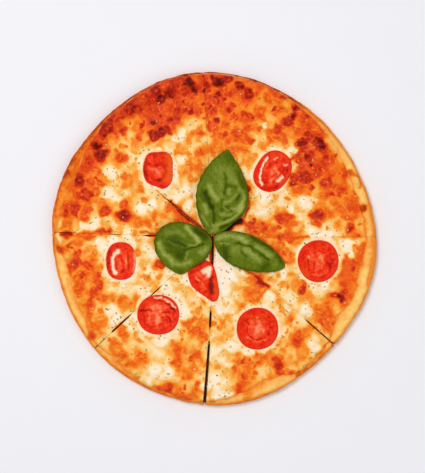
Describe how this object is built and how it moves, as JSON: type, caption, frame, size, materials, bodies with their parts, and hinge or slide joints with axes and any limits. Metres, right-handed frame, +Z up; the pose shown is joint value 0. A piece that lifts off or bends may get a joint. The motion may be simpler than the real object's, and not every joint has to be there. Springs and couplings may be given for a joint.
{
  "type": "margherita pizza",
  "caption": "Round baked margherita pizza cut into wedge slices, with tomato sauce, melted cheese, tomato slices and basil leaves",
  "frame": {"origin": "on the underside, in the middle of the outline", "axes": "+Z up through the pizza's thickness, +X and +Y across the pizza"},
  "size_m": [0.2787, 0.2864, 0.0198],
  "materials": {
    "baked_dough": "baked, dull, gold with browned bubbles",
    "tomato_sauce": "cooked, wet",
    "melted_cheese": "melted, oily, with browned blisters",
    "tomato_flesh": "wet, glossy",
    "basil": "fresh leaf, satin"
  },
  "bodies": {
    "root": {"dough_slice_1": "baked_dough", "dough_slice_2": "baked_dough", "dough_slice_3": "baked_dough", "dough_slice_4": "baked_dough", "dough_slice_5": "baked_dough", "dough_slice_6": "baked_dough", "dough_slice_7": "baked_dough", "dough_slice_8": "baked_dough", "sauce_slice_1": "tomato_sauce", "sauce_slice_2": "tomato_sauce", "sauce_slice_3": "tomato_sauce", "sauce_slice_4": "tomato_sauce", "sauce_slice_5": "tomato_sauce", "sauce_slice_6": "tomato_sauce", "sauce_slice_7": "tomato_sauce", "sauce_slice_8": "tomato_sauce", "cheese_slice_1": "melted_cheese", "cheese_slice_2": "melted_cheese", "cheese_slice_3": "melted_cheese", "cheese_slice_4": "melted_cheese", "cheese_slice_5": "melted_cheese", "cheese_slice_6": "melted_cheese", "cheese_slice_7": "melted_cheese", "cheese_slice_8": "melted_cheese", "tomato_slice_upper_left": "tomato_flesh", "tomato_slice_upper_right_part_1": "tomato_flesh", "tomato_slice_upper_right_part_2": "tomato_flesh", "tomato_slice_left": "tomato_flesh", "tomato_slice_lower_left": "tomato_flesh", "tomato_slice_lower_right": "tomato_flesh", "tomato_slice_right": "tomato_flesh", "tomato_slice_middle_part_6": "tomato_flesh", "tomato_slice_middle_part_7": "tomato_flesh", "basil_leaf_top": "basil", "basil_leaf_left": "basil", "basil_leaf_right": "basil"}
  },
  "joints": []
}
